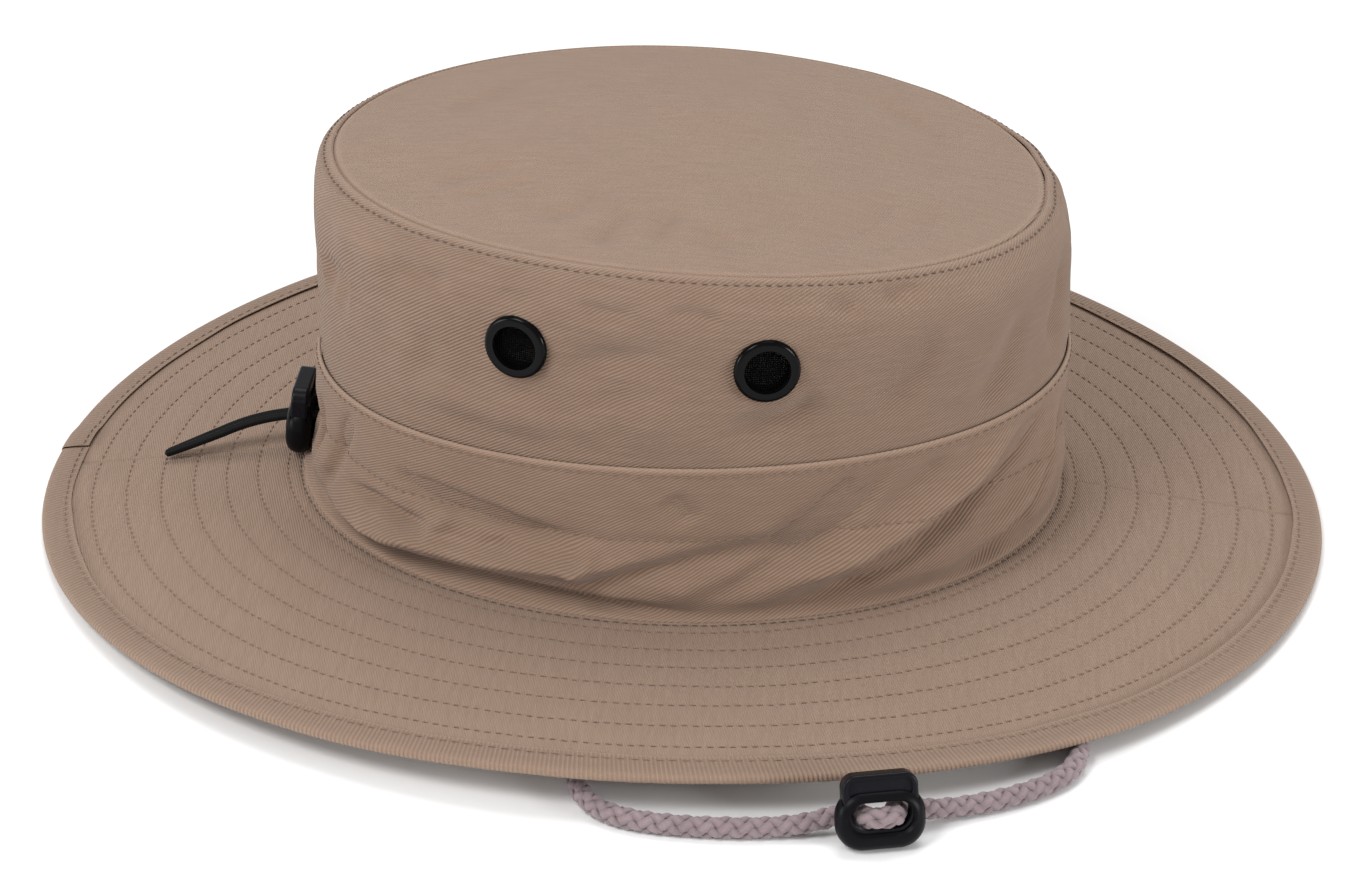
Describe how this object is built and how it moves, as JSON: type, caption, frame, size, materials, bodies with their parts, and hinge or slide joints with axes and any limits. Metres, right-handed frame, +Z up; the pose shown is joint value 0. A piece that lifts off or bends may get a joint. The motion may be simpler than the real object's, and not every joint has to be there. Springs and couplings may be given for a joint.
{
  "type": "boonie hat",
  "caption": "Cloth sun hat with a quilted brim, vented crown, drawcord with a cord lock at the back and a braided chin cord with a second lock",
  "frame": {"origin": "on the table, under the middle of the brim, which is the middle of the bounding box's base without the free cords and their locks", "axes": "+X is the front of the hat, +Y the wearer's left, +Z up"},
  "size_m": [0.3332, 0.314, 0.1048],
  "materials": {
    "khaki_twill": "matt cotton twill",
    "stiffener": "matt non-woven",
    "khaki_tape": "matt ribbed bias tape",
    "sweat_cloth": "matt",
    "white_tape": "matt, blank",
    "black_metal": "satin black",
    "black_mesh": "satin black mesh",
    "black_elastic": "matt elastic cord",
    "black_plastic": "satin",
    "black_button": "satin",
    "spring_steel": "bare wire",
    "beige_cotton": "soft braided cotton"
  },
  "bodies": {
    "hat": {"brim_upper_right": "khaki_twill", "brim_upper_left": "khaki_twill", "brim_interlining_right": "stiffener", "brim_interlining_left": "stiffener", "brim_lower_right": "khaki_twill", "brim_lower_left": "khaki_twill", "brim_binding": "khaki_tape", "crown_tip": "khaki_twill", "crown_side_right": "khaki_twill", "crown_side_left": "khaki_twill", "hatband": "khaki_twill", "sweatband": "sweat_cloth", "inner_label": "white_tape", "vent_eyelets": "black_metal", "vent_washers": "black_metal", "vent_screens": "black_mesh", "drawcord_channel_run": "black_elastic", "drawcord_tail_right": "black_elastic", "drawcord_tail_left": "black_elastic", "chin_cord": "beige_cotton", "chin_lock_body": "black_plastic", "chin_lock_spring": "spring_steel"},
    "rear_lock": {"rear_lock_body": "black_plastic", "rear_lock_spring": "spring_steel"},
    "rear_button": {"rear_lock_button": "black_button"},
    "chin_button": {"chin_lock_button": "black_button"}
  },
  "joints": [
    {"name": "rear_lock_slide", "type": "slide", "parent": "hat", "child": "rear_lock", "axis": [-0.9912, 0, -0.1321], "range_m": [0, 0.01], "deforming": ["drawcord_tail_right", "drawcord_tail_left"]},
    {"name": "rear_button_press", "type": "slide", "parent": "rear_lock", "child": "rear_button", "axis": [-0.0698, 0, -0.9976], "range_m": [0, 0.0033], "stiffness_N_per_m": 700, "springref_m": -0.001, "deforming": ["rear_lock_spring"]},
    {"name": "chin_button_press", "type": "slide", "parent": "hat", "child": "chin_button", "axis": [0.0748, -0.2998, -0.9511], "range_m": [0, 0.0018], "stiffness_N_per_m": 900, "springref_m": -0.001, "deforming": ["chin_lock_spring"]}
  ]
}
